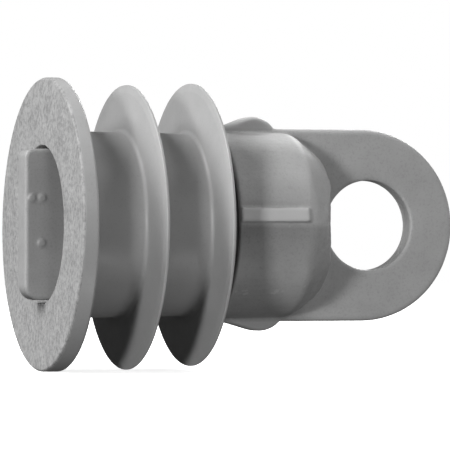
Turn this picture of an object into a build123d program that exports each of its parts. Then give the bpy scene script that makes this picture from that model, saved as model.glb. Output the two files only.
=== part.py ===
from build123d import *
import math
import os

# Cap-and-tang strain insulator: a ceramic shell with an end flange and two thin sheds, a metal cap
# with a flat eye cemented over its closed head, and a flat metal tang cemented into its open end.
#
# Millimetres. +X is the insulator's axis, from the open end towards the eye. +Z is up. The eye
# plate and the tang are both flat in the XZ plane. The origin is the centre of the eye's hole.
#
# Stations (names that end in _AT) are distances along the axis from the flange's front face.

# ---------------------------------------------------------------- driving dimensions
# the whole
EYE_AT = 89.6            # flange face to the centre of the eye's hole
# ceramic shell
FLANGE_D = 76.2
FLANGE_T = 4.3
FLANGE_EDGE_R = 0.8
BARREL_D = 48.6          # at the flange
BARREL_DRAFT = 1.0       # how much the barrel's diameter loses by the cap
SHED_2_AT = 22.7         # mid-plane of the first shed behind the flange
SHED_2_D = 74.2
SHED_3_AT = 40.4
SHED_3_D = 74.0
SHED_RIM_T = 0.7
SHED_ROOT_T = 2.6
SHED_BEVEL = 2.0         # width of the bevelled band along a shed's rim
SHED_BEVEL_DROP = 0.35   # how far each bevel drops to the rim
ROOT_FILLET = 1.2
MOUTH_D = 41.0           # open bore at the flange
MOUTH_CHAMFER = 0.3
MOUTH_DEPTH = 30.0
SOCKET_D = 24.0          # narrower bore that holds the tang
SOCKET_END_AT = 58.0
NECK_D = 38.0            # head at the cap's rim
HEAD_D = 39.4            # head at its closed end, wider so that the cement locks
HEAD_END_AT = 63.4
# metal cap with its eye
CAP_RIM_AT = 46.2
CAP_D = 49.4
CAP_DRAFT = 0.6          # how much the cap's diameter loses by its shoulder
CAP_WALL = 2.6
CAP_LIP = 0.8            # how much thicker the wall is at the rim
CAP_LIP_L = 4.0
SHOULDER_AT = 66.7       # where the side and the sloping flank would meet without the rounding
SHOULDER_R = 5.0
CROWN_AT = 74.2          # flat end of the cap, which the eye plate stands out of
CROWN_D = 37.6
CROWN_FLAT = 15.7        # from the axis to the edge where each sloping side flat meets the crown
CROWN_FLAT_SLOPE = 65.0  # degrees that the side flats lean in towards the crown
CROWN_EDGE_R = 1.0
PLATE_W = 50.8
PLATE_T = 6.35
PLATE_EDGE_R = 1.2
EYE_ARC_BACK = 1.5       # the plate's round end is centred this far behind the hole
EYE_HOLE_D = 23.8
HOLE_EDGE_R = 0.7
LUG_RIM_RISE = 0.25      # how far both lugs stand out of the cap at its rim
UPPER_LUG_RISE = 3.35    # the same, where the crest turns down
UPPER_LUG_RAMP = 0.31    # slope of the ramp where it leaves the rim
UPPER_LUG_PEAK_AT = 59.9
UPPER_LUG_END_AT = 63.3
LOWER_LUG_RISE = 2.5
LOWER_LUG_RAMP = 0.15
LOWER_LUG_PEAK_AT = 62.4
LOWER_LUG_END_AT = 64.9
LUG_T = 6.0
LUG_EDGE_R = 1.2
RIB_W = 3.7              # the two straight ribs on the sides
RIB_TURN = 5.6           # degrees that they sit round from square to the plate
RIB_RISE = 1.30
RIB_END_AT = 67.0
RIB_FADE_L = 2.7         # the rib sinks into the shoulder over this length
RIB_EDGE_R = 0.4
# metal tang
TANG_OUT = 5.3           # how far it stands out of the flange
TANG_CLEAR = 0.6         # between the tang's corners and the bore that it stands in
TANG_T = 7.2
TANG_EDGE_R = 0.9
TANG_UPPER_CORNER_R = 2.2
TANG_LOWER_CORNER_R = 3.8
TANG_NECK_AT = 27.0      # where it narrows to its shank
TANG_NECK_L = 4.0
SHANK_W = 14.0
SHANK_END_AT = 56.0
ANCHOR_W = 18.0
ANCHOR_L = 4.0
SHANK_GROOVE = 1.2       # depth of the notches that key the shank
NIB_D = 2.0
NIB_H = 0.35
NIB_SUNK = 0.1           # how deep a nib's foot is sunk, so that it joins
NIB_IN = 3.2             # middle of the upper pair of nibs, behind the tang's front end
NIB_GAP = 2.7
NIB_HEIGHT = 6.8
LOWER_NIB_IN = 4.4
LOWER_NIB_HEIGHT = -4.8
# filling and bedding
SAND_T = 0.5
COAT_T = 0.3
CUSHION_T = 1.5
TANG_CUSHION_T = 1.2
SOCKET_FILL_AT = 32.0    # the socket cement stops this far in
SEAL_T = 1.2
SEAL_SETBACK = 0.5       # seal's outside, behind the barrel's
SEAL_STEP = 0.9          # the seal follows a cap whose rim stands out further than this

os.makedirs("parts", exist_ok=True)

# ---------------------------------------------------------------- worked-out sizes
BORE_R = MOUTH_D / 2
SOCKET_R = SOCKET_D / 2
TANG_W = 2 * math.sqrt((BORE_R - TANG_CLEAR) ** 2 - (TANG_T / 2) ** 2)
SHOULDER_SEAT_AT = CAP_RIM_AT - SEAL_T              # the shell's step down to its neck
HEAD_OPEN_AT = SHOULDER_SEAT_AT                      # where the head's outside begins
CAP_FLOOR_AT = HEAD_END_AT + CUSHION_T
CAP_END_D = CAP_D - CAP_DRAFT
EYE_ARC_AT = EYE_AT - EYE_ARC_BACK


def x_at(station):
    """Row-frame X of a station along the axis."""
    return station - EYE_AT


def lerp(a, b, t):
    return a + (b - a) * t


def barrel_r(station):
    """Radius of the tapering barrel."""
    return (BARREL_D - BARREL_DRAFT * (station - FLANGE_T) / (CAP_RIM_AT - FLANGE_T)) / 2


def cap_r(station):
    """Outer radius of the cap's drafted side."""
    return lerp(CAP_D, CAP_END_D, (station - CAP_RIM_AT) / (SHOULDER_AT - CAP_RIM_AT)) / 2


def head_r(station):
    """Radius of the head, which widens towards its closed end."""
    return lerp(NECK_D, HEAD_D, (station - HEAD_OPEN_AT) / (HEAD_END_AT - HEAD_OPEN_AT)) / 2


def cap_bore_r(station):
    """Inner radius of the cap: a lip at the rim that opens to the full bore."""
    full = CAP_END_D / 2 - CAP_WALL
    opened = min(max((station - CAP_RIM_AT) / CAP_LIP_L, 0), 1)
    return full - CAP_LIP * (1 - opened)


def turned(points):
    """A solid turned about the X axis from (station, radius) points."""
    outline = Polyline(*[(x_at(s), r) for s, r in points], close=True)
    return revolve(make_face(outline), Axis.X, 360)


def flat(sketch, thickness):
    """A plate in the XZ plane, centred on it. The sketch is drawn in X and Z."""
    return extrude(Plane.XZ * sketch, thickness / 2, both=True)


def save(solid, node):
    if isinstance(solid, (list, ShapeList)):
        solid = Compound(children=list(solid))
    export_step(solid, f"parts/{node}.step")


# ---------------------------------------------------------------- ceramic shell
def shed_outline(mid, shed_d):
    """Outer outline of one shed, from its front root to its back root."""
    rim = SHED_RIM_T / 2
    bevel = rim + SHED_BEVEL_DROP
    root = SHED_ROOT_T / 2
    rim_r = shed_d / 2
    front = [(mid - root, barrel_r(mid - root)), (mid - bevel, rim_r - SHED_BEVEL), (mid - rim, rim_r)]
    back = [(mid + rim, rim_r), (mid + bevel, rim_r - SHED_BEVEL), (mid + root, barrel_r(mid + root))]
    return front + back


def make_shell():
    outline = [(0, BORE_R), (0, FLANGE_D / 2), (FLANGE_T, FLANGE_D / 2), (FLANGE_T, barrel_r(FLANGE_T))]
    outline += shed_outline(SHED_2_AT, SHED_2_D) + shed_outline(SHED_3_AT, SHED_3_D)
    outline += [(SHOULDER_SEAT_AT, barrel_r(SHOULDER_SEAT_AT))]
    outline += [(SHOULDER_SEAT_AT, head_r(SHOULDER_SEAT_AT))]
    outline += [(HEAD_END_AT, head_r(HEAD_END_AT)), (HEAD_END_AT, 0), (SOCKET_END_AT, 0)]
    outline += [(SOCKET_END_AT, SOCKET_R), (MOUTH_DEPTH, SOCKET_R), (MOUTH_DEPTH, BORE_R)]
    shell = turned(outline)

    def circles(station, radius):
        near = [e for e in shell.edges().filter_by(GeomType.CIRCLE)
                if abs(e.arc_center.X - x_at(station)) < 0.01 and abs(e.radius - radius) < 0.01]
        return near

    roots = circles(FLANGE_T, barrel_r(FLANGE_T))
    for mid in (SHED_2_AT, SHED_3_AT):
        for side in (-SHED_ROOT_T / 2, SHED_ROOT_T / 2):
            roots += circles(mid + side, barrel_r(mid + side))
    shell = fillet(roots, ROOT_FILLET)
    shell = fillet([e for e in shell.edges().filter_by(GeomType.CIRCLE)
                    if abs(e.radius - FLANGE_D / 2) < 0.01], FLANGE_EDGE_R)
    shell = chamfer([e for e in shell.edges().filter_by(GeomType.CIRCLE)
                     if abs(e.arc_center.X - x_at(0)) < 0.01 and abs(e.radius - BORE_R) < 0.01],
                    MOUTH_CHAMFER)
    return shell


# ---------------------------------------------------------------- metal cap and eye
def rounded_corner(before, corner, after, radius):
    """The two tangent points and the arc between them that round a corner of an outline."""
    a, b, c = Vector(*before), Vector(*corner), Vector(*after)
    back, on = (a - b).normalized(), (c - b).normalized()
    reach = radius / math.tan(math.radians(back.get_angle(on)) / 2)
    start, end = b + back * reach, b + on * reach
    first, last = (start.X, start.Y), (end.X, end.Y)
    return first, TangentArc(first, last, tangent=-back), last


def make_cap_body():
    """The turned part of the cap, solid: drafted side, rounded shoulder, flank, flat crown."""
    rim = (x_at(CAP_RIM_AT), CAP_D / 2)
    shoulder = (x_at(SHOULDER_AT), CAP_END_D / 2)
    edge = (x_at(CROWN_AT), CROWN_D / 2)
    middle = (x_at(CROWN_AT), 0)
    side_end, bend, flank_start = rounded_corner(rim, shoulder, edge, SHOULDER_R)
    flank_end, edge_arc, crown_start = rounded_corner(shoulder, edge, middle, CROWN_EDGE_R)
    outline = [Line(rim, side_end), bend, Line(flank_start, flank_end), edge_arc,
               Polyline(crown_start, middle, (x_at(CAP_RIM_AT), 0), rim)]
    body = revolve(make_face(Curve() + outline), Axis.X, 360)
    # a sloping flat on each side of the crown, where the ears of a clevis swing past
    cutter = Pos(0, 0, CAP_D / 2) * Box(4 * CAP_D, 4 * CAP_D, CAP_D)
    for side in (-1, 1):
        lean = Rot(side * -90, 0, 0) * Rot(0, CROWN_FLAT_SLOPE, 0)
        body = body - Pos(x_at(CROWN_AT), side * CROWN_FLAT, 0) * lean * cutter
    return body


def make_lug(rise, ramp, peak_at, end_at):
    """A lug on the cap's upper side, in the eye plate's plane: a long ramp, a crest, a steep end."""
    rim_z = cap_r(CAP_RIM_AT) + LUG_RIM_RISE
    foot_z = max(PLATE_W / 2, cap_r(end_at) + LUG_EDGE_R / 2) - 0.2
    inside_z = cap_r(end_at) - CAP_WALL
    start = x_at(CAP_RIM_AT)
    crest = Spline((start, rim_z), (x_at(peak_at), CAP_D / 2 + rise), (x_at(end_at), foot_z),
                   tangents=((1.0, ramp), (0.6, -1.0)))
    sides = [Line((x_at(end_at), foot_z), (x_at(end_at), inside_z)),
             Line((x_at(end_at), inside_z), (start, inside_z)),
             Line((start, inside_z), (start, rim_z))]
    lug = flat(make_face(Curve() + [crest] + sides), LUG_T)
    edges = [e for e in lug.edges() if e.geom_type == GeomType.BSPLINE]
    return fillet(edges, LUG_EDGE_R)


def make_rib():
    """A straight rib on the cap's side, which sinks into the shoulder at its end."""
    top = cap_r(CAP_RIM_AT) + RIB_RISE
    inside = cap_r(SHOULDER_AT) - CAP_WALL / 2
    outline = Polyline((x_at(CAP_RIM_AT), -inside), (x_at(CAP_RIM_AT), -top),
                       (x_at(RIB_END_AT - RIB_FADE_L), -top), (x_at(RIB_END_AT), -inside), close=True)
    rib = extrude(make_face(outline), RIB_W / 2, both=True)
    long_edges = [e for e in rib.edges() if abs(abs(e.center().Z) - RIB_W / 2) < 0.01
                  and e.center().Y < -(inside + 0.1) and abs(e.center().X - x_at(CAP_RIM_AT)) > 0.1]
    return fillet(long_edges, RIB_EDGE_R)


def make_cap():
    body = make_cap_body()

    # the eye plate starts inside the cap, under the lugs, and runs out to its round end
    straight_l = EYE_ARC_AT - UPPER_LUG_END_AT + 2.0
    outline = Pos(x_at(EYE_ARC_AT) - straight_l / 2, 0) * Rectangle(straight_l, PLATE_W)
    outline += Pos(x_at(EYE_ARC_AT), 0) * Circle(PLATE_W / 2)
    outline -= Circle(EYE_HOLE_D / 2)
    plate = flat(outline, PLATE_T)
    hole = [e for e in plate.edges().filter_by(GeomType.CIRCLE) if abs(e.radius - EYE_HOLE_D / 2) < 0.01]
    plate = fillet(hole, HOLE_EDGE_R)
    outside = [e for e in plate.edges() if abs(abs(e.center().Y) - PLATE_T / 2) < 0.01
               and max(abs(p.Z) for p in (e @ 0, e @ 0.5, e @ 1)) > EYE_HOLE_D
               and abs(e.center().X - x_at(EYE_ARC_AT - straight_l)) > 0.1]
    plate = fillet(outside, PLATE_EDGE_R)

    upper_lug = make_lug(UPPER_LUG_RISE, UPPER_LUG_RAMP, UPPER_LUG_PEAK_AT, UPPER_LUG_END_AT)
    lower_lug = make_lug(LOWER_LUG_RISE, LOWER_LUG_RAMP, LOWER_LUG_PEAK_AT, LOWER_LUG_END_AT)
    lugs = [upper_lug, lower_lug.rotate(Axis.X, 180)]
    rib = make_rib()
    ribs = [rib.rotate(Axis.X, -RIB_TURN), rib.rotate(Axis.X, 180 + RIB_TURN)]

    cap = body
    for piece in [plate] + lugs + ribs:
        cap = cap + piece
    # hollow for the head, with its lip at the rim
    bore = turned([(CAP_RIM_AT - 1, 0), (CAP_RIM_AT - 1, cap_bore_r(CAP_RIM_AT)),
                   (CAP_RIM_AT, cap_bore_r(CAP_RIM_AT)),
                   (CAP_RIM_AT + CAP_LIP_L, cap_bore_r(CAP_RIM_AT + CAP_LIP_L)),
                   (CAP_FLOOR_AT, cap_bore_r(CAP_FLOOR_AT)), (CAP_FLOOR_AT, 0)])
    cap = cap - bore
    # the hole is clear of the crown, or cuts what reaches it
    cap = cap - Rot(90, 0, 0) * Cylinder(EYE_HOLE_D / 2, CAP_D)
    return cap


# ---------------------------------------------------------------- metal tang
def tang_outline(grow=0.0, start=None):
    """Outline of the tang in X and Z; grow makes it wider all round, for the coat."""
    half, shank, anchor = TANG_W / 2, SHANK_W / 2 + grow, ANCHOR_W / 2 + grow
    neck_end = TANG_NECK_AT + TANG_NECK_L
    anchor_at = SHANK_END_AT - ANCHOR_L
    notch_at = lerp(neck_end, anchor_at, 0.45)
    notch_l = 2.5
    if start is None:
        upper = [(-TANG_OUT, half), (TANG_NECK_AT, half), (neck_end, shank)]
    else:
        upper = [(start, shank)]
    upper += [(notch_at - notch_l, shank), (notch_at, shank - SHANK_GROOVE), (notch_at + notch_l, shank),
              (anchor_at, shank), (SHANK_END_AT + grow, anchor)]
    lower = [(s, -z) for s, z in reversed(upper)]
    return make_face(Polyline(*[(x_at(s), z) for s, z in upper + lower], close=True))


def make_tang():
    plate = flat(tang_outline(), TANG_T)
    lower, upper = [e for e in plate.edges().filter_by(Axis.Y).sort_by(Axis.Z)
                    if abs(e.center().X - x_at(-TANG_OUT)) < 0.01]
    plate = fillet(lower, TANG_LOWER_CORNER_R)
    plate = fillet(plate.edges().filter_by(Axis.Y).sort_by_distance(upper.center())[0], TANG_UPPER_CORNER_R)
    front = [e for e in plate.edges() if abs(abs(e.center().Y) - TANG_T / 2) < 0.01
             and e.center().X < x_at(TANG_NECK_AT) and abs(e.center().Z) <= TANG_W / 2]
    plate = fillet(front, TANG_EDGE_R)
    spots = [(NIB_IN - NIB_GAP / 2, NIB_HEIGHT), (NIB_IN + NIB_GAP / 2, NIB_HEIGHT),
             (LOWER_NIB_IN, LOWER_NIB_HEIGHT)]
    for inward, z in spots:
        middle_y = -(TANG_T + NIB_H - NIB_SUNK) / 2
        nib = Pos(x_at(inward - TANG_OUT), middle_y, z) * Rot(90, 0, 0)
        nib = nib * Cylinder(NIB_D / 2, NIB_H + NIB_SUNK)
        nib = fillet(nib.edges().group_by(Axis.Y)[0], NIB_H * 0.6)
        plate = plate + nib
    return plate


# ---------------------------------------------------------------- build every piece
shell = make_shell()
cap = make_cap()
tang = make_tang()

# sand band fused on the head, then cement, then the coat inside the cap
sand_start = HEAD_OPEN_AT + SEAL_T
head_sand = turned([(sand_start, head_r(sand_start)), (sand_start, head_r(sand_start) + SAND_T),
                    (HEAD_END_AT, head_r(HEAD_END_AT) + SAND_T), (HEAD_END_AT, head_r(HEAD_END_AT))])
lip_end = CAP_RIM_AT + CAP_LIP_L
cap_coat = turned([(CAP_RIM_AT, cap_bore_r(CAP_RIM_AT) - COAT_T), (CAP_RIM_AT, cap_bore_r(CAP_RIM_AT)),
                   (lip_end, cap_bore_r(lip_end)), (CAP_FLOOR_AT, cap_bore_r(CAP_FLOOR_AT)),
                   (CAP_FLOOR_AT, cap_bore_r(CAP_FLOOR_AT) - COAT_T),
                   (lip_end, cap_bore_r(lip_end) - COAT_T)])
cap_cement = turned([(CAP_RIM_AT, head_r(CAP_RIM_AT) + SAND_T),
                     (CAP_RIM_AT, cap_bore_r(CAP_RIM_AT) - COAT_T),
                     (lip_end, cap_bore_r(lip_end) - COAT_T),
                     (CAP_FLOOR_AT, cap_bore_r(CAP_FLOOR_AT) - COAT_T),
                     (CAP_FLOOR_AT, head_r(HEAD_END_AT) + SAND_T),
                     (HEAD_END_AT, head_r(HEAD_END_AT) + SAND_T)])
cap_cushion = turned([(HEAD_END_AT, 0), (HEAD_END_AT, head_r(HEAD_END_AT) + SAND_T),
                      (CAP_FLOOR_AT, head_r(HEAD_END_AT) + SAND_T), (CAP_FLOOR_AT, 0)])
seal_r = max(barrel_r(SHOULDER_SEAT_AT), cap_r(CAP_RIM_AT) - SEAL_STEP) - SEAL_SETBACK
cap_seal = turned([(SHOULDER_SEAT_AT, head_r(SHOULDER_SEAT_AT)), (SHOULDER_SEAT_AT, seal_r),
                   (CAP_RIM_AT, seal_r), (CAP_RIM_AT, head_r(CAP_RIM_AT))])

# in the socket: sand band on the wall, cushion at the bottom, cement round the coated shank
socket_sand = turned([(SOCKET_FILL_AT, SOCKET_R - SAND_T), (SOCKET_FILL_AT, SOCKET_R),
                      (SOCKET_END_AT, SOCKET_R), (SOCKET_END_AT, SOCKET_R - SAND_T)])
fill_end = SOCKET_END_AT - TANG_CUSHION_T
tang_cushion = turned([(fill_end, 0), (fill_end, SOCKET_R - SAND_T),
                       (SOCKET_END_AT, SOCKET_R - SAND_T), (SOCKET_END_AT, 0)])
coat_skin = flat(tang_outline(COAT_T, SOCKET_FILL_AT), TANG_T + 2 * COAT_T)
tang_coat = coat_skin - tang
socket_fill = turned([(SOCKET_FILL_AT, 0), (SOCKET_FILL_AT, SOCKET_R - SAND_T),
                      (fill_end, SOCKET_R - SAND_T), (fill_end, 0)])
tang_cement = socket_fill - coat_skin

save(shell, "insulator_shell")
save(cap, "eye_cap")
save(tang, "tang")
save(head_sand, "head_sand_band")
save(cap_coat, "cap_coat")
save(cap_cement, "cap_cement")
save(cap_cushion, "cap_cushion")
save(cap_seal, "cap_seal")
save(socket_sand, "socket_sand_band")
save(tang_cushion, "tang_cushion")
save(tang_coat, "tang_coat")
save(tang_cement, "tang_cement")
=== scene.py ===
"""Cap-and-tang strain insulator: the visual model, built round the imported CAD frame.

The insulator's axis is X. The eye plate and the tang lie in the XZ plane. Lengths named in mm
are turned into metres where a mesh is made. Stations are distances along the axis from the
flange's front face.
"""

import math

import bmesh
import bpy
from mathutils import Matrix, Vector, noise


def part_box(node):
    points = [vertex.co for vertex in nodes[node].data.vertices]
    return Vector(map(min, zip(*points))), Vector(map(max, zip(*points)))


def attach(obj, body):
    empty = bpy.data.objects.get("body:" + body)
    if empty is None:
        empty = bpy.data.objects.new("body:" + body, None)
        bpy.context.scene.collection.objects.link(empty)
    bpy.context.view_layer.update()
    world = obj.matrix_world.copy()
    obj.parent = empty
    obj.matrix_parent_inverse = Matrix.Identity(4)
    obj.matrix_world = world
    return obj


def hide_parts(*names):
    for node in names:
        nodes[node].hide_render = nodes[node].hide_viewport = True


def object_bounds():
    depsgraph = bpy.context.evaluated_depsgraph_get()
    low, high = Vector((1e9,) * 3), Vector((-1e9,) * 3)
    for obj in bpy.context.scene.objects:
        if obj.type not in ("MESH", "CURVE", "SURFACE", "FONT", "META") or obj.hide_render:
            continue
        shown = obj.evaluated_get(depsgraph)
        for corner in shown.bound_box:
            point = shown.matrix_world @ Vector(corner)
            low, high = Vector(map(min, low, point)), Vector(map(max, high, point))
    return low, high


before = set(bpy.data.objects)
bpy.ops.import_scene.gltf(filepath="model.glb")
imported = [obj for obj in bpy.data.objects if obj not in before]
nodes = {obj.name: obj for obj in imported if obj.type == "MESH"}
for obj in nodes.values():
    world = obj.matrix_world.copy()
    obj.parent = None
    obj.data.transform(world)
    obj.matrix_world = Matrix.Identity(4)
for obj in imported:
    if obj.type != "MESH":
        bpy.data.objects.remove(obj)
cad_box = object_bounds()
MM = 0.001

# ------------------------------------------------------------------ places read from the frame
shell_low, shell_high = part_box("insulator_shell")
seal_low, seal_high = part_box("cap_seal")
FACE_X = shell_low.x                                # flange's front face
FLOOR_Z = cad_box[0].z
HEAD_END = (shell_high.x - FACE_X) / MM             # stations, in mm
SEAL_FROM = (seal_low.x - FACE_X) / MM
SEAL_TO = (seal_high.x - FACE_X) / MM
FLANGE_R = shell_high.z / MM
SEAL_R = seal_high.z / MM
CROWN_X = FACE_X + 74 * MM                          # where the eye plate leaves the cap's crown
FLANK_FROM = 66.0                                   # station where the cap's shoulder turns in
PLATE_HALF_T = 3.4                                  # the eye plate and what it blends into, mm

# ------------------------------------------------------------------ shell sizes, mm
FLANGE_T = 4.3
FLANGE_EDGE_R = 0.8
FLANGE_LEAN = 0.45                                  # its faces stand this much off square at the rim
BARREL_R = 24.3
BARREL_END_R = 23.8
SHED_2 = (22.7, 37.1)                               # station of its mid-plane, radius
SHED_3 = (40.4, 37.0)
SHED_RIM_HALF = 0.35
SHED_BEVEL_HALF = 0.7
SHED_BEVEL = 2.0
SHED_ROOT_HALF = 1.3
SHED_2_SAG = 0.7                                    # its rim hangs this much low, as fired
SHELL_RIPPLE = 0.035                                # the glazed surface is untrue by this much
RIPPLE_PER_MM = 0.09                                # waves of that ripple per mm
ROOT_R = 1.2
MOUTH_R = 20.5
MOUTH_DEPTH = 30.0
SOCKET_R = 12.0
SOCKET_END = 58.0
NECK_R = 19.0
HEAD_R = 19.7
TURN_STEPS = 288
ARC_STEPS = 6
LONGEST_STEP = 2.5                                  # between rings on a long straight stretch


# ------------------------------------------------------------------ outlines and turned meshes
def arc_corner(before, corner, after, radius):
    """Points that round one corner of an outline."""
    a, b, c = Vector(before), Vector(corner), Vector(after)
    back, on = (a - b).normalized(), (c - b).normalized()
    half = back.angle(on) / 2
    if radius < 1e-6 or half < 1e-3 or abs(half - math.pi / 2) < 1e-3:
        return [b]
    reach = min(radius / math.tan(half), 0.48 * (a - b).length, 0.48 * (c - b).length)
    radius = reach * math.tan(half)
    centre = b + (back + on).normalized() * radius / math.sin(half)
    first, last = b + back * reach - centre, b + on * reach - centre
    sweep = math.pi - 2 * half
    turn = 1 if first.x * last.y - first.y * last.x > 0 else -1
    points = []
    for i in range(ARC_STEPS + 1):
        t = turn * sweep * i / ARC_STEPS
        points.append(centre + Vector((first.x * math.cos(t) - first.y * math.sin(t),
                                       first.x * math.sin(t) + first.y * math.cos(t))))
    return points


def rounded_outline(corners):
    """A closed outline from (station, radius, rounding) corners, with long stretches divided."""
    n = len(corners)
    points = []
    for i, (s, r, rounding) in enumerate(corners):
        before, after = corners[i - 1][:2], corners[(i + 1) % n][:2]
        points += arc_corner(before, (s, r), after, rounding)
    filled = []
    for i, p in enumerate(points):
        q = points[(i + 1) % len(points)]
        steps = max(1, math.ceil((q - p).length / LONGEST_STEP))
        filled += [p.lerp(q, k / steps) for k in range(steps)]
    return filled


def smooth_mesh(bm, name):
    """The mesh as a new object, shaded smooth with its flats kept flat."""
    mesh = bpy.data.meshes.new(name)
    bm.to_mesh(mesh)
    bm.free()
    piece = bpy.data.objects.new(name, mesh)
    bpy.context.scene.collection.objects.link(piece)
    mesh.shade_smooth()
    weighted = piece.modifiers.new("flats", "WEIGHTED_NORMAL")
    weighted.weight = 60
    return piece


def turned(name, corners, shift=None):
    """A mesh turned about X. A closed outline that meets the axis is closed there by a fan.
    shift(station, radius, angle) gives a small (axial, radial, Z) move in mm."""
    outline = rounded_outline(corners)
    bm = bmesh.new()
    rings = []
    for p in outline:
        on_axis = p.y < 1e-4
        ring = []
        for k in range(1 if on_axis else TURN_STEPS):
            angle = 2 * math.pi * k / TURN_STEPS
            s, r, z = p.x, p.y, 0.0
            if shift and not on_axis:
                ds, dr, z = shift(s, r, angle)
                s, r = s + ds, r + dr
            ring.append(bm.verts.new((FACE_X + s * MM, r * math.sin(angle) * MM,
                                      (r * math.cos(angle) + z) * MM)))
        rings.append(ring)
    for i, ring in enumerate(rings):
        after = rings[(i + 1) % len(rings)]
        if len(ring) == 1 and len(after) == 1:
            continue
        for k in range(TURN_STEPS):
            m = (k + 1) % TURN_STEPS
            if len(ring) == 1:
                bm.faces.new((ring[0], after[m], after[k]))
            elif len(after) == 1:
                bm.faces.new((ring[k], ring[m], after[0]))
            else:
                bm.faces.new((ring[k], ring[m], after[m], after[k]))
    bmesh.ops.recalc_face_normals(bm, faces=bm.faces)
    return smooth_mesh(bm, name)


def barrel_at(station):
    t = (station - FLANGE_T) / (SEAL_TO - FLANGE_T)
    return BARREL_R + (BARREL_END_R - BARREL_R) * t


def shed_corners(shed):
    """Corners of one shed, front root to back root."""
    mid, rim_r = shed
    front = [(mid - SHED_ROOT_HALF, barrel_at(mid - SHED_ROOT_HALF), ROOT_R),
             (mid - SHED_BEVEL_HALF, rim_r - SHED_BEVEL, 2.0),
             (mid - SHED_RIM_HALF, rim_r, 0.25)]
    back = [(2 * mid - s, r, rounding) for s, r, rounding in reversed(front)]
    back[-1] = (back[-1][0], barrel_at(back[-1][0]), ROOT_R)
    return front + back


# ------------------------------------------------------------------ ceramic shell
def shell_shift(station, radius, angle):
    """Kiln movement: the first shed's rim hangs a little, the flange's faces lean and no surface
    is quite true. The flange's rim keeps its radius, which is the part's own outside."""
    mid, rim_r = SHED_2
    out = min(max((radius - BARREL_R) / (rim_r - BARREL_R), 0.0), 1.0)
    sag = -SHED_2_SAG * out * out * (3 - 2 * out) if abs(station - mid) < 2 else 0.0
    place = Vector((station * RIPPLE_PER_MM, radius * math.sin(angle) * RIPPLE_PER_MM,
                    radius * math.cos(angle) * RIPPLE_PER_MM))
    ripple = SHELL_RIPPLE * noise.noise(place) if radius < FLANGE_R - 0.05 else 0.0
    along = ripple * 0.5
    if station <= FLANGE_T and radius > BARREL_R:
        # the flange is thinner at its top than at its bottom
        height = math.cos(angle) * (radius - BARREL_R) / (FLANGE_R - BARREL_R)
        along += FLANGE_LEAN * height if station < FLANGE_T / 2 else -FLANGE_LEAN * min(height, 0.0)
    return along, ripple, sag


shell = turned("glazed_shell", [
    (0, MOUTH_R, 0.3), (0, FLANGE_R, FLANGE_EDGE_R), (FLANGE_T, FLANGE_R, FLANGE_EDGE_R),
    (FLANGE_T, BARREL_R, ROOT_R), *shed_corners(SHED_2), *shed_corners(SHED_3),
    (SEAL_FROM, BARREL_END_R, 0.4), (SEAL_FROM, NECK_R, 0.5), (HEAD_END, HEAD_R, 1.0),
    (HEAD_END, 0, 0), (SOCKET_END, 0, 0), (SOCKET_END, SOCKET_R, 1.0),
    (MOUTH_DEPTH, SOCKET_R, 1.0), (MOUTH_DEPTH, MOUTH_R, 1.5)], shell_shift)
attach(shell, "root")
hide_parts("insulator_shell")


# ------------------------------------------------------------------ sealing bead at the cap's rim
SEAL_WAVER = 0.12


def seal_shift(station, radius, angle):
    """A bead laid by hand: its outside wavers inward."""
    outer = radius > SEAL_R - 1.0
    place = Vector((station * 0.3, math.cos(angle) * 6, math.sin(angle) * 6))
    return 0.0, (-SEAL_WAVER + SEAL_WAVER * noise.noise(place)) if outer else 0.0, 0.0


seal = turned("seal_bead", [(SEAL_FROM, NECK_R, 0), (SEAL_FROM, SEAL_R, 0.5), (SEAL_TO, SEAL_R, 0.5),
                            (SEAL_TO, NECK_R + 0.05, 0)], seal_shift)
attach(seal, "root")
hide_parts("cap_seal")


# ------------------------------------------------------------------ castings and forgings
def soft_edged(node, name, voxel_mm, rounds, lumps):
    """A copy of a CAD node with the blended corners and uneven skin of a casting or forging.
    lumps(x, y, z) in mm gives how far the skin moves out at a place."""
    mesh = nodes[node].data.copy()
    piece = bpy.data.objects.new(name, mesh)
    bpy.context.scene.collection.objects.link(piece)
    remesh = piece.modifiers.new("skin", "REMESH")
    remesh.mode = "VOXEL"
    remesh.voxel_size = voxel_mm * MM
    smooth = piece.modifiers.new("blend", "SMOOTH")
    smooth.factor = 0.5
    smooth.iterations = rounds
    graph = bpy.context.evaluated_depsgraph_get()
    done = bpy.data.meshes.new_from_object(piece.evaluated_get(graph))
    piece.modifiers.clear()
    piece.data = done
    done.name = name
    low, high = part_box(node)
    moved = []
    for v in done.vertices:
        out = lumps(v.co.x / MM, v.co.y / MM, v.co.z / MM) * MM
        p = v.co + v.normal * out
        moved.append([min(max(p[i], low[i]), high[i]) for i in range(3)])
    for v, p in zip(done.vertices, moved):
        v.co = p
    done.shade_smooth()
    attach(piece, "root")
    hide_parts(node)
    return piece


def cap_lumps(x, y, z):
    """Sand-cast skin: faint on the side and plate, coarser on the flank and crown."""
    station = x - FACE_X / MM
    off_plate = math.hypot(y, z) > 4 and abs(y) > PLATE_HALF_T
    flank = min(max((station - FLANK_FROM) / 4.0, 0.0), 1.0) if off_plate else 0.0
    coarse = noise.noise(Vector((x, y, z)) * 0.33) * (0.03 + 0.13 * flank)
    fine = noise.noise(Vector((x + 40, y, z)) * 0.9) * (0.012 + 0.05 * flank)
    return coarse + fine - 0.02


def tang_lumps(x, y, z):
    """Rolled plate: long shallow waves."""
    return 0.02 * noise.noise(Vector((x * 0.12, y * 0.3, z * 0.2))) - 0.01


cap = soft_edged("eye_cap", "cast_cap", 0.36, 4, cap_lumps)
tang = soft_edged("tang", "tang_plate", 0.3, 3, tang_lumps)


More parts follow.
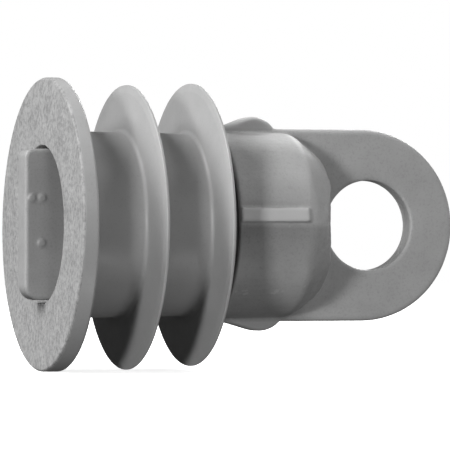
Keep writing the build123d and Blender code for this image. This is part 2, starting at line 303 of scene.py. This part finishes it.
# ------------------------------------------------------------------ materials
MIX_FIRST_COLOR, MIX_SECOND_COLOR, MIX_COLOR_OUT = 6, 7, 2      # a Mix node's colour sockets


class Nodes:
    """A small helper that lays out one material's nodes."""

    def __init__(self, name):
        self.material = bpy.data.materials.new(name)
        self.material.use_nodes = True
        self.tree = self.material.node_tree
        self.shader = self.tree.nodes["Principled BSDF"]
        self.place = self.new("ShaderNodeTexCoord").outputs["Object"]

    def new(self, kind, **settings):
        node = self.tree.nodes.new(kind)
        for key, value in settings.items():
            setattr(node, key, value)
        return node

    def link(self, source, target):
        self.tree.links.new(source, target)

    def noise(self, size_mm, detail=3.0, rough=0.55):
        """Noise whose features are about size_mm across."""
        node = self.new("ShaderNodeTexNoise")
        node.inputs["Scale"].default_value = 1 / (size_mm * MM)
        node.inputs["Detail"].default_value = detail
        node.inputs["Roughness"].default_value = rough
        self.link(self.place, node.inputs["Vector"])
        return node.outputs["Fac"]

    def ramp(self, source, low, high, at=(0.3, 0.7)):
        """Maps a value onto a number range or a colour range."""
        if isinstance(low, tuple):
            node = self.new("ShaderNodeValToRGB")
            first, last = node.color_ramp.elements
            first.position, last.position = at
            first.color, last.color = (*low, 1), (*high, 1)
            self.link(source, node.inputs["Fac"])
            return node.outputs["Color"]
        node = self.new("ShaderNodeMapRange")
        for key, value in (("From Min", at[0]), ("From Max", at[1]), ("To Min", low), ("To Max", high)):
            node.inputs[key].default_value = value
        self.link(source, node.inputs["Value"])
        return node.outputs["Result"]

    def mix(self, factor, first, second, blend="MIX"):
        """Blends two colours, each a tuple or a socket."""
        node = self.new("ShaderNodeMix", data_type="RGBA", blend_type=blend)
        if isinstance(factor, float):
            node.inputs["Factor"].default_value = factor
        else:
            self.link(factor, node.inputs["Factor"])
        for value, number in ((first, MIX_FIRST_COLOR), (second, MIX_SECOND_COLOR)):
            socket = node.inputs[number]
            if isinstance(value, tuple):
                socket.default_value = (*value, 1)
            else:
                self.link(value, socket)
        return node.outputs[MIX_COLOR_OUT]

    def math(self, operation, first, second=None):
        node = self.new("ShaderNodeMath", operation=operation)
        for value, socket in zip((first, second), node.inputs):
            if value is None:
                continue
            if isinstance(value, (int, float)):
                socket.default_value = value
            else:
                self.link(value, socket)
        return node.outputs[0]

    def bump(self, height, distance_mm, strength=1.0, before=None):
        node = self.new("ShaderNodeBump")
        node.inputs["Strength"].default_value = strength
        node.inputs["Distance"].default_value = distance_mm * MM
        self.link(height, node.inputs["Height"])
        if before:
            self.link(before, node.inputs["Normal"])
        return node.outputs["Normal"]

    def finish(self, color, roughness, normal):
        self.link(color, self.shader.inputs["Base Color"])
        self.link(roughness, self.shader.inputs["Roughness"])
        self.link(normal, self.shader.inputs["Normal"])
        return self.material


def grey(value, warm=0.0):
    return (value * (1 + warm), value, value * (1 - warm))


def porcelain():
    """Satin mid-grey glaze, thin and pale on sharp edges."""
    n = Nodes("satin_glaze")
    clouds = n.ramp(n.noise(14, 3), grey(0.335), grey(0.365))
    specks = n.ramp(n.noise(0.5, 2), grey(0.90), grey(1.0), (0.30, 0.42))
    color = n.mix(1.0, clouds, specks, "MULTIPLY")
    worn = n.ramp(n.new("ShaderNodeNewGeometry").outputs["Pointiness"], 0.0, 0.2, (0.52, 0.62))
    color = n.mix(worn, color, grey(0.40))
    rough = n.ramp(n.noise(6, 3), 0.36, 0.50)
    peel = n.bump(n.noise(2.2, 2), 0.03, 0.6)
    fine = n.bump(n.noise(0.35, 2), 0.012, 0.5, peel)
    return n.finish(color, rough, fine)


def unglazed():
    """The flange's end face: darker, mottled and grainy."""
    n = Nodes("unglazed_face")
    clouds = n.ramp(n.noise(6, 4), grey(0.26), grey(0.33))
    pits = n.ramp(n.noise(1.3, 3, 0.7), grey(0.70), grey(1.06), (0.36, 0.58))
    color = n.mix(1.0, clouds, pits, "MULTIPLY")
    rough = n.ramp(n.noise(2, 3), 0.62, 0.8)
    grain = n.bump(n.noise(1.8, 4, 0.65), 0.22, 0.9)
    fine = n.bump(n.noise(0.4, 2), 0.03, 0.6, grain)
    return n.finish(color, rough, fine)


def coated_casting(name, value, grain_mm, on_cap):
    """A matte grey coating over cast or rolled metal. The cap's has its part line, a painted shade
    below its ribs and a painted highlight on the crests of its ribs and lugs.
    """
    n = Nodes(name)
    clouds = n.ramp(n.noise(9, 4), grey(value * 0.93), grey(value * 1.06))
    specks = n.ramp(n.noise(0.6, 3, 0.7), grey(0.86), grey(1.0), (0.32, 0.5))
    color = n.mix(1.0, clouds, specks, "MULTIPLY")
    worn = n.ramp(n.new("ShaderNodeNewGeometry").outputs["Pointiness"], 0.0, 0.5, (0.56, 0.64))
    color = n.mix(worn, color, grey(value * 1.35))
    rough = n.ramp(n.noise(3, 3), 0.46, 0.62)
    normal = n.bump(n.noise(grain_mm, 3, 0.6), 0.06, 0.7)
    normal = n.bump(n.noise(0.45, 2), 0.02, 0.5, normal)
    if on_cap:
        across = n.new("ShaderNodeSeparateXYZ")
        n.link(n.place, across.inputs["Vector"])
        # painted shade: the coating is darker in a band below each rib, where the rib's shadow falls
        fading = n.ramp(across.outputs["Z"], 0.0, 1.0, (-12 * MM, -3 * MM))
        under_rib = n.ramp(across.outputs["Z"], 1.0, 0.0, (-1 * MM, 0.5 * MM))
        on_side = n.ramp(across.outputs["X"], 1.0, 0.0, (CROWN_X - 9 * MM, CROWN_X))
        band = n.math("MULTIPLY", n.math("MULTIPLY", fading, under_rib), on_side)
        color = n.mix(band, color, n.mix(1.0, color, grey(0.7), "MULTIPLY"))
        # and a painted highlight: the coating is lighter on the crests of the ribs and lugs
        y, z = across.outputs["Y"], across.outputs["Z"]
        reach = n.math("SQRT", n.math("ADD", n.math("MULTIPLY", y, y), n.math("MULTIPLY", z, z)))
        painted_crest_highlight = n.ramp(reach, 0.0, 1.0, (25.0 * MM, 25.8 * MM))
        color = n.mix(n.math("MULTIPLY", painted_crest_highlight, on_side), color, grey(value * 1.4))
        ridge = n.ramp(n.math("ABSOLUTE", across.outputs["Y"]), 1.0, 0.0, (0.0, 0.35 * MM))
        normal = n.bump(ridge, 0.08, 0.8, normal)
    return n.finish(color, rough, normal)


def plain_fill(name, dark, light, size_mm, rough, bump_mm):
    """Cement, grit, bitumen, cork and rubber: two tones, a grain and a bump of one size."""
    n = Nodes(name)
    color = n.ramp(n.noise(size_mm, 4, 0.65), dark, light)
    roughness = n.ramp(n.noise(size_mm * 2, 2), rough - 0.08, rough + 0.08)
    return n.finish(color, roughness, n.bump(n.noise(size_mm * 0.6, 3), bump_mm, 0.8))


def dress(piece, *materials):
    piece.data.materials.clear()
    for material in materials:
        piece.data.materials.append(material)


dress(shell, porcelain(), unglazed())
# the glaze stops at the flange's front edge, and starts again inside the bore
for face in shell.data.polygons:
    axis_distance = math.hypot(face.center.y, face.center.z)
    if face.center.x < FACE_X + 1.5 * MM and face.normal.x < -0.25 and axis_distance > MOUTH_R * MM:
        face.material_index = 1
dress(cap, coated_casting("cap_coating", 0.36, 1.4, True))
dress(tang, coated_casting("tang_coating", 0.265, 2.6, False),
      coated_casting("tang_end_painted_light", 0.31, 2.6, False))
for face in tang.data.polygons:
    if face.normal.x < -0.6:                        # painted light: the end face, which faces the key light, gets a lighter copy of the coating
        face.material_index = 1
dress(seal, plain_fill("seal_rubber", grey(0.035), grey(0.06), 2.0, 0.7, 0.1))
cement = plain_fill("cement", grey(0.42, 0.03), grey(0.56, 0.03), 0.9, 0.9, 0.15)
grit = plain_fill("grit", grey(0.36, 0.04), grey(0.55, 0.04), 0.6, 0.85, 0.3)
bitumen = plain_fill("bitumen", grey(0.015), grey(0.03), 3.0, 0.45, 0.05)
cork = plain_fill("cork", (0.30, 0.19, 0.10), (0.46, 0.31, 0.18), 1.2, 0.9, 0.2)
for node, material in (("cap_cement", cement), ("tang_cement", cement), ("head_sand_band", grit),
                       ("socket_sand_band", grit), ("cap_coat", bitumen), ("tang_coat", bitumen),
                       ("cap_cushion", cork), ("tang_cushion", cork)):
    dress(nodes[node], material)

# ------------------------------------------------------------------ floor
# It glows white, and a little less round the insulator, so that a faint shade is left there. It
# lets the weak light from below through.
FLOOR_HALF = 3.0
bm = bmesh.new()
bmesh.ops.create_grid(bm, x_segments=8, y_segments=8, size=FLOOR_HALF)
floor = smooth_mesh(bm, "floor")
floor.location = (0, 0, FLOOR_Z)
floor_look = bpy.data.materials.new("pale_floor")
floor_look.use_nodes = True
floor_shader = floor_look.node_tree.nodes["Principled BSDF"]
floor_shader.inputs["Base Color"].default_value = (0.86, 0.86, 0.86, 1)
floor_shader.inputs["Roughness"].default_value = 0.9
floor_shader.inputs["Specular IOR Level"].default_value = 0.1
floor_shader.inputs["Emission Color"].default_value = (1, 1, 1, 1)
spread = floor_look.node_tree.nodes.new("ShaderNodeTexCoord")
reach = floor_look.node_tree.nodes.new("ShaderNodeVectorMath")
reach.operation = "LENGTH"
glow = floor_look.node_tree.nodes.new("ShaderNodeMapRange")
for key, value in (("From Min", 0.1), ("From Max", 0.6), ("To Min", 0.8), ("To Max", 1.0)):
    glow.inputs[key].default_value = value
floor_look.node_tree.links.new(spread.outputs["Object"], reach.inputs[0])
floor_look.node_tree.links.new(reach.outputs["Value"], glow.inputs["Value"])
floor_look.node_tree.links.new(glow.outputs["Result"], floor_shader.inputs["Emission Strength"])
dress(floor, floor_look)
floor.visible_diffuse = False
floor.visible_glossy = False
floor.visible_shadow = False

# ------------------------------------------------------------------ camera
VIEW_AZIMUTH = math.radians(-18.9)
VIEW_ELEVATION = math.radians(-0.5)
VIEW_DISTANCE = 1.005
AIM = Vector((FACE_X + 50.3 * MM, 0, 0))
look = Vector((-math.sin(VIEW_AZIMUTH) * math.cos(VIEW_ELEVATION),
               math.cos(VIEW_AZIMUTH) * math.cos(VIEW_ELEVATION), -math.sin(VIEW_ELEVATION)))
camera = bpy.data.objects.new("camera", bpy.data.cameras.new("camera"))
bpy.context.scene.collection.objects.link(camera)
camera.location = AIM - look * VIEW_DISTANCE
camera.rotation_euler = look.to_track_quat("-Z", "Y").to_euler()
camera.data.sensor_width = 36
camera.data.lens = 305.5
camera.data.clip_start = 0.05
bpy.context.scene.camera = camera


# ------------------------------------------------------------------ light
def area_light(name, azimuth, elevation, distance, size, power):
    """A soft square light that faces the insulator. azimuth is about Z, 0 from the camera's side
    of the plate (-Y) and 90 from the flange's end (-X)."""
    a, e = math.radians(azimuth), math.radians(elevation)
    way = Vector((-math.sin(a) * math.cos(e), -math.cos(a) * math.cos(e), math.sin(e)))
    light = bpy.data.objects.new(name, bpy.data.lights.new(name, "AREA"))
    bpy.context.scene.collection.objects.link(light)
    light.data.size = size
    light.data.energy = power
    light.location = AIM + way * distance
    light.rotation_euler = (-way).to_track_quat("-Z", "Y").to_euler()
    return light


LIGHT_DISTANCE = 1.4
LIGHTS = (                                          # azimuth, elevation, size in m, power in W
    ("key", 94, 42, 0.7, 27),
    ("left_low", 46, 4, 0.2, 10.5),
    ("front", 5, 12, 0.25, 2.5),
    ("right_high", -70, 50, 0.35, 6),
    ("right_side", -85, 12, 0.35, 2.5),
    ("below", -15, -45, 0.35, 2.5),
    ("back", -140, 35, 0.35, 8),
)
for name, azimuth, elevation, size, power in LIGHTS:
    area_light(name, azimuth, elevation, LIGHT_DISTANCE, size, power)

world = bpy.data.worlds.new("studio")
bpy.context.scene.world = world
world.use_nodes = True
tree = world.node_tree
tree.nodes.clear()
# white behind the insulator, and a much dimmer light on it from all round
output = tree.nodes.new("ShaderNodeOutputWorld")
either = tree.nodes.new("ShaderNodeMixShader")
seen, lit = tree.nodes.new("ShaderNodeBackground"), tree.nodes.new("ShaderNodeBackground")
seen.inputs["Color"].default_value = (1, 1, 1, 1)
seen.inputs["Strength"].default_value = 1.0
lit.inputs["Color"].default_value = (1, 1, 1, 1)
lit.inputs["Strength"].default_value = 0.045
path = tree.nodes.new("ShaderNodeLightPath")
tree.links.new(path.outputs["Is Camera Ray"], either.inputs["Fac"])
tree.links.new(lit.outputs["Background"], either.inputs[1])
tree.links.new(seen.outputs["Background"], either.inputs[2])
tree.links.new(either.outputs["Shader"], output.inputs["Surface"])
bpy.context.scene.view_settings.view_transform = "Standard"
